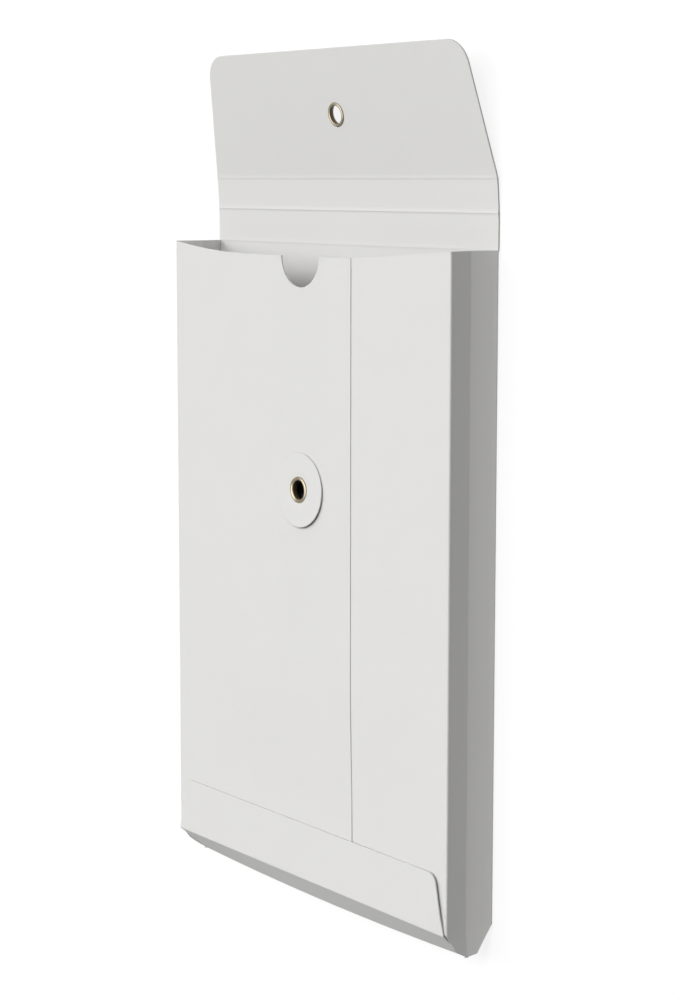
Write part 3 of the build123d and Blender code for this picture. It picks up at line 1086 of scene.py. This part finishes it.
def button_section():
    """Closed section of a card button, pressed in around its hole, and which of its strips are cut edge."""
    hole_edge = BUTTON_HOLE + BUTTON_HOLE_SOFT
    pressed = BUTTON_HIGH - BUTTON_PRESS
    rim_radius = BUTTON_RADIUS - BUTTON_SOFT
    rounding = (BUTTON_SOFT, BUTTON_SOFT)
    under = [(BUTTON_HOLE, BUTTON_LOW + BUTTON_HOLE_SOFT), (hole_edge, BUTTON_LOW)]
    under += [(radius, BUTTON_LOW) for radius in BUTTON_UNDER_RINGS]
    rim = arc((rim_radius, BUTTON_LOW + BUTTON_SOFT), rounding, -90, 0, count=4)
    rim += arc((rim_radius, BUTTON_HIGH - BUTTON_SOFT), rounding, 0, 90, count=4)
    upper = [(radius, BUTTON_HIGH) for radius in BUTTON_UPPER_RINGS]
    upper += [(PRESS_SLOPE_RADIUS, BUTTON_HIGH - BUTTON_PRESS / 4), (PRESS_RADIUS, pressed)]
    upper += [(hole_edge, pressed), (BUTTON_HOLE, pressed - BUTTON_HOLE_SOFT)]
    cut = [0] * len(under) + [1] * (len(rim) - 1) + [0] * (len(upper) + 1)
    return under + rim + upper, cut


def button_bend(radius, angle, height):
    """Tilt and slight saddle of a button, as a move outwards and a move up."""
    share = radius / BUTTON_RADIUS
    saddle = BUTTON_SADDLE * share * share * cos(2 * angle + BUTTON_SADDLE_TURN)
    return 0.0, saddle + BUTTON_TILT * share * cos(angle + BUTTON_TILT_TURN)


class ENVELOPE_OT_buttons(bpy.types.Operator):
    """Builds the two card buttons, pressed at their eyelets, tilted and slightly out of flat"""

    bl_idname = "envelope.buttons"
    bl_label = "Card buttons"

    def execute(self, context):
        section, cut = button_section()
        for name in ("front_button", "flap_button"):
            piece = turned(f"{name}_card", section, rivet_place(f"{name}_spin"), [card_face(), card_core()],
                           slots=cut, warp=button_bend)
            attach(piece, name)
            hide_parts(f"{name}_disc")
        return {"FINISHED"}


def eyelet_section():
    """Closed section of an eyelet: rolled end, barrel, domed flange and flared bore."""
    roll = arc((ROLL_RADIUS, ROLL_MIDDLE), (ROLL_HALF_WIDTH, ROLL_DROP), 180, 360, count=8)
    hem_radius = ROLL_RADIUS + ROLL_HALF_WIDTH - HEM_WIDTH
    hem = arc((hem_radius, ROLL_MIDDLE), (HEM_WIDTH, -ROLL_MIDDLE - CARD), 0, 90, count=3)[1:]
    barrel = [(RIVET_HOLE + EYELET_SOFT, -CARD), (RIVET_HOLE, EYELET_SOFT - CARD)]
    barrel.append((RIVET_HOLE, FLANGE_LOW - EYELET_SOFT))
    under = [(RIVET_HOLE + 2 * EYELET_SOFT, FLANGE_LOW), (FLANGE_RADIUS - 2 * EYELET_SOFT, FLANGE_LOW)]
    dome_radii = (FLANGE_RADIUS - CROWN_RADIUS, CROWN_TOP - FLANGE_RIM)
    dome = arc((CROWN_RADIUS, FLANGE_RIM), dome_radii, 0, 90, count=6)
    bell_radii = (CROWN_RADIUS - BELL_RADIUS, CROWN_TOP - BELL_LOW)
    bell = arc((CROWN_RADIUS, BELL_LOW), bell_radii, 90, 180, count=8)[1:]
    return roll + hem + barrel + under + dome + bell


def rubbed_and_unshaded(height):
    """Share of bright metal, by how far it stands out of the card on either side: worn bright by handling, with
    painted shade and painted dark reflection where it sinks to the card and into the bore.
    """
    if height > 0:
        return float(smooth_step((height - SHADE_TO_POLISH_START) / SHADE_TO_POLISH_RUN))
    return float(smooth_step((-height - ROLL_SHADE_TO_POLISH_START) / ROLL_SHADE_TO_POLISH_RUN))


def crimp(radius, angle, height):
    """Shallow scallops around the rolled end, as a move outwards and a move up."""
    rolled = min(max((-height - CRIMP_START) / CRIMP_RUN, 0.0), 1.0)
    outer = max(radius - CRIMP_RADIUS, 0.0)
    return rolled * outer * CRIMP_SHARE * (cos(CRIMP_COUNT * angle) - 1.0), 0.0


class ENVELOPE_OT_eyelets(bpy.types.Operator):
    """Builds the two brass eyelets, with a domed flange and a rolled, slightly scalloped end"""

    bl_idname = "envelope.eyelets"
    bl_label = "Brass eyelets"

    def execute(self, context):
        section = eyelet_section()
        # Bright metal high up, dark near the card and in the bore: partly wear, partly painted shade and
        # painted dark reflection
        polish_and_shade = [rubbed_and_unshaded(height) for _, height in section]
        for side in ("front", "flap"):
            place = rivet_place(f"{side}_button_spin")
            piece = turned(f"{side}_eyelet_brass", section, place, [brass_finish()], warp=crimp,
                           sharp=EYELET_SHARP, polish_and_shade=polish_and_shade)
            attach(piece, side)
            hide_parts(f"{side}_eyelet")
        return {"FINISHED"}


class ENVELOPE_OT_glue(bpy.types.Operator):
    """Gives the glue film under the lip its finish"""

    bl_idname = "envelope.glue"
    bl_label = "Glue under the lip"

    def execute(self, context):
        mesh = frame["nodes"]["seal_glue"].data
        mesh.materials.clear()
        mesh.materials.append(glue_finish())
        return {"FINISHED"}


# Stage and panel
def soft_light(name, direction, strength):
    """Distant lamp that shines from a direction, with soft shadows."""
    lamp = bpy.data.lights.new(name, "SUN")
    lamp.energy = strength
    lamp.angle = LIGHT_SPREAD
    made = bpy.data.objects.new(name, lamp)
    made.visible_glossy = False
    made.rotation_euler = Vector(direction).to_track_quat("Z", "Y").to_euler()
    bpy.context.scene.collection.objects.link(made)


class ENVELOPE_OT_stage(bpy.types.Operator):
    """Lays the pale floor and sets the light and the camera"""

    bl_idname = "envelope.stage"
    bl_label = "Stage"

    def execute(self, context):
        stage = context.scene.envelope_stage
        self.lay_floor(stage)
        self.light_dome(stage)
        soft_light("key_light", KEY_FROM, stage.key)
        soft_light("side_light", SIDE_FROM, stage.side)
        soft_light("top_light", TOP_FROM, stage.top)
        self.aim_camera(context)
        context.scene.view_settings.view_transform = "Standard"
        context.scene.cycles.diffuse_bounces = 1
        return {"FINISHED"}

    def lay_floor(self, stage):
        """Pale floor that glows for the camera and in the brass, so that shadows on it stay faint."""
        mesh = bpy.data.meshes.new("floor")
        corners = [(-1, -1), (1, -1), (1, 1), (-1, 1)]
        mesh.from_pydata([(FLOOR_HALF * x, FLOOR_HALF * y, FLOOR_Z) for x, y in corners], [], [(0, 1, 2, 3)])
        floor = bpy.data.objects.new("floor", mesh)
        bpy.context.scene.collection.objects.link(floor)
        made = bpy.data.materials.new("Pale floor")
        made.use_nodes = True
        tree = made.node_tree
        tree.nodes.clear()
        shade = add(tree, "ShaderNodeBsdfDiffuse", {"Color": (*(FLOOR_SHADE * c for c in stage.floor), 1)})
        path = add(tree, "ShaderNodeLightPath").outputs
        seen = maths(tree, "MAXIMUM", path["Is Camera Ray"], path["Is Glossy Ray"])
        strength = maths(tree, "MULTIPLY", seen, FLOOR_GLOW)
        glow = add(tree, "ShaderNodeEmission", {"Color": (*stage.floor, 1), "Strength": strength})
        both = add(tree, "ShaderNodeAddShader", {0: shade.outputs[0], 1: glow.outputs[0]})
        add(tree, "ShaderNodeOutputMaterial", {"Surface": both.outputs[0]})
        mesh.materials.append(made)
        floor.visible_diffuse = False

    def light_dome(self, stage):
        """Light all round, brighter below. Mirrored is a panel overhead, and the camera sees white."""
        world = bpy.data.worlds.new("Soft dome")
        bpy.context.scene.world = world
        world.use_nodes = True
        tree = world.node_tree
        tree.nodes.clear()
        towards = add(tree, "ShaderNodeTexCoord").outputs["Generated"]

        def facing(direction):
            return add(tree, "ShaderNodeVectorMath", {0: towards, 1: Vector(direction).normalized()},
                       operation="DOT_PRODUCT").outputs["Value"]

        lit = maths(tree, "MULTIPLY_ADD", facing(TABLE_FROM), stage.lean, stage.sky)
        panel = add(tree, "ShaderNodeMapRange", {
            "Value": facing(PANEL_FROM), "From Min": PANEL_EDGE_START, "From Max": PANEL_EDGE_END,
            "To Min": PANEL_DARK, "To Max": stage.shine,
        }, interpolation_type="SMOOTHSTEP")
        path = add(tree, "ShaderNodeLightPath").outputs

        def instead(ray, value, usual):
            return maths(tree, "MULTIPLY_ADD", path[ray], maths(tree, "SUBTRACT", value, usual), usual)

        mirrored = instead("Is Glossy Ray", panel.outputs[0], lit)
        backdrop = instead("Is Camera Ray", 1.0, mirrored)
        dome = add(tree, "ShaderNodeBackground", {"Color": (1, 1, 1, 1), "Strength": backdrop})
        add(tree, "ShaderNodeOutputWorld", {"Surface": dome.outputs[0]})

    def aim_camera(self, context):
        """Camera with the photograph's place, angle and framing."""
        level = cos(CAMERA_TILT)
        ahead = Vector((-sin(CAMERA_TURN) * level, -sin(CAMERA_TILT), -cos(CAMERA_TURN) * level))
        right = Vector((cos(CAMERA_TURN), 0, -sin(CAMERA_TURN)))
        up = right.cross(ahead)
        lens = bpy.data.cameras.new("camera")
        lens.sensor_width = SENSOR_WIDTH
        lens.lens = FOCAL_PIXELS / PICTURE_HEIGHT * SENSOR_WIDTH
        lens.shift_x = (PICTURE_WIDTH / 2 - AXIS_X) / PICTURE_HEIGHT
        lens.shift_y = (AXIS_Y - PICTURE_HEIGHT / 2) / PICTURE_HEIGHT
        camera = bpy.data.objects.new("camera", lens)
        place = Matrix((right, up, -ahead)).transposed().to_4x4()
        place.translation = Vector(CAMERA_PLACE) * MM
        camera.matrix_world = place
        context.scene.collection.objects.link(camera)
        context.scene.camera = camera


class ENVELOPE_PT_build(bpy.types.Panel):
    """Lists the pieces of the envelope and their settings"""

    bl_label = "String tie envelope"
    bl_idname = "ENVELOPE_PT_build"
    bl_space_type = "VIEW_3D"
    bl_region_type = "UI"
    bl_category = "Envelope"

    def draw(self, context):
        for operator in OPERATORS:
            self.layout.operator(operator.bl_idname)
        for group in SETTINGS:
            settings = getattr(context.scene, group)
            for label in settings.__annotations__:
                self.layout.prop(settings, label)


OPERATORS = (
    ENVELOPE_OT_back, ENVELOPE_OT_walls, ENVELOPE_OT_bottom, ENVELOPE_OT_front, ENVELOPE_OT_flap,
    ENVELOPE_OT_buttons, ENVELOPE_OT_eyelets, ENVELOPE_OT_glue, ENVELOPE_OT_stage,
)
SETTINGS = {"envelope_card": CardSettings, "envelope_brass": BrassSettings, "envelope_stage": StageSettings}


def register():
    """Adds the settings, the operators and the panel."""
    for label, settings in SETTINGS.items():
        bpy.utils.register_class(settings)
        setattr(bpy.types.Scene, label, PointerProperty(type=settings))
    for operator in OPERATORS:
        bpy.utils.register_class(operator)
    bpy.utils.register_class(ENVELOPE_PT_build)


def unregister():
    """Takes them away again."""
    bpy.utils.unregister_class(ENVELOPE_PT_build)
    for operator in reversed(OPERATORS):
        bpy.utils.unregister_class(operator)
    for label, settings in SETTINGS.items():
        delattr(bpy.types.Scene, label)
        bpy.utils.unregister_class(settings)


def main():
    """Builds every piece in order."""
    register()
    for operator in OPERATORS:
        group, name = operator.bl_idname.split(".")
        getattr(getattr(bpy.ops, group), name)()


if __name__ == "__main__":
    main()
